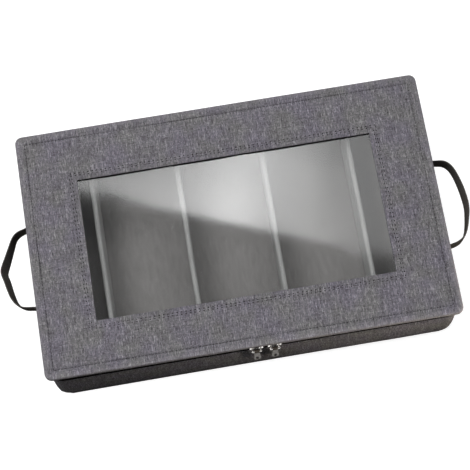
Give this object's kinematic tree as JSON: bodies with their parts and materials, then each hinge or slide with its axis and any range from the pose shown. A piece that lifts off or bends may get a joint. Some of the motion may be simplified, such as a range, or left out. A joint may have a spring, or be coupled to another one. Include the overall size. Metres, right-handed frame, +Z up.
{
  "type": "flatware storage case",
  "caption": "Zippered grey fabric storage case with a hinged window lid, upright dividers inside and a webbing handle on each short end.",
  "frame": {"origin": "centre of the case's flat underside", "axes": "+X along the case towards its right-hand end, -Y towards the front (zipper) side, +Z up"},
  "size_m": [0.4644, 0.2524, 0.08],
  "materials": {
    "heather_fabric": "matte linen-look weave, charcoal grey heather",
    "base_fabric": "black non-woven cloth",
    "lining_fabric": "matte brushed lining",
    "divider_fabric": "matte brushed cloth, light grey",
    "stiffener_board": "bare greyboard",
    "clear_sheet": "clear glossy sheet",
    "zip_tape": "black woven tape",
    "zip_teeth": "black moulded teeth",
    "nickel": "polished nickel plate",
    "webbing": "black ribbed webbing"
  },
  "bodies": {
    "case_body": {"base_cover": "base_fabric", "base_board": "stiffener_board", "floor_pad": "lining_fabric", "wall_cover": "heather_fabric", "wall_lining": "lining_fabric", "front_wall_board": "stiffener_board", "back_wall_board": "stiffener_board", "left_wall_board": "stiffener_board", "right_wall_board": "stiffener_board", "hinge_strip": "heather_fabric", "lower_zip_tape": "zip_tape", "lower_zip_teeth": "zip_teeth", "zip_end_stops": "zip_teeth", "left_handle_roots": "webbing", "left_handle_sewn_ends": "webbing", "right_handle_roots": "webbing", "right_handle_sewn_ends": "webbing"},
    "lid": {"lid_cover": "heather_fabric", "window_sheet": "clear_sheet", "lid_board": "stiffener_board", "lid_lining": "lining_fabric", "upper_zip_tape": "zip_tape", "upper_zip_teeth": "zip_teeth"},
    "left_slider": {"left_slider": "nickel"},
    "left_pull": {"left_pull": "nickel"},
    "right_slider": {"right_slider": "nickel"},
    "right_pull": {"right_pull": "nickel"},
    "left_handle": {"left_handle_grip": "webbing"},
    "right_handle": {"right_handle_grip": "webbing"},
    "divider_1": {"divider_1_sleeve": "divider_fabric", "divider_1_board": "stiffener_board"},
    "divider_2": {"divider_2_sleeve": "divider_fabric", "divider_2_board": "stiffener_board"},
    "divider_3": {"divider_3_sleeve": "divider_fabric", "divider_3_board": "stiffener_board"},
    "divider_4": {"divider_4_sleeve": "divider_fabric", "divider_4_board": "stiffener_board"}
  },
  "joints": [
    {"name": "lid_hinge", "type": "hinge", "parent": "case_body", "child": "lid", "pos_m": [0, 0.1233, 0.071], "axis": [-1, 0, 0], "range_deg": [0, 180], "deforming": ["hinge_strip"]},
    {"name": "left_slider_slide", "type": "slide", "parent": "case_body", "child": "left_slider", "axis": [-1, 0, 0], "range_m": [0, 0.177], "deforming": ["lower_zip_teeth", "upper_zip_teeth"]},
    {"name": "left_pull_swing", "type": "hinge", "parent": "left_slider", "child": "left_pull", "pos_m": [0.00075, -0.12755, 0.071], "axis": [-1, 0, 0], "range_deg": [0, 150]},
    {"name": "left_handle_swing", "type": "hinge", "parent": "case_body", "child": "left_handle", "pos_m": [-0.198, -0.003, 0.048], "axis": [0, 1, 0], "range_deg": [-60, 60], "deforming": ["left_handle_roots"]},
    {"name": "right_slider_slide", "type": "slide", "parent": "case_body", "child": "right_slider", "axis": [1, 0, 0], "range_m": [0, 0.158], "deforming": ["lower_zip_teeth", "upper_zip_teeth"]},
    {"name": "right_pull_swing", "type": "hinge", "parent": "right_slider", "child": "right_pull", "pos_m": [0.01825, -0.12755, 0.071], "axis": [-1, 0, 0], "range_deg": [0, 150]},
    {"name": "right_handle_swing", "type": "hinge", "parent": "case_body", "child": "right_handle", "pos_m": [0.198, -0.003, 0.048], "axis": [0, -1, 0], "range_deg": [-60, 60], "deforming": ["right_handle_roots"]},
    {"name": "divider_1_slide", "type": "slide", "parent": "case_body", "child": "divider_1", "axis": [1, 0, 0], "range_m": [-0.035, 0.035]},
    {"name": "divider_2_slide", "type": "slide", "parent": "case_body", "child": "divider_2", "axis": [1, 0, 0], "range_m": [-0.035, 0.035]},
    {"name": "divider_3_slide", "type": "slide", "parent": "case_body", "child": "divider_3", "axis": [1, 0, 0], "range_m": [-0.035, 0.035]},
    {"name": "divider_4_slide", "type": "slide", "parent": "case_body", "child": "divider_4", "axis": [1, 0, 0], "range_m": [-0.035, 0.035]}
  ]
}
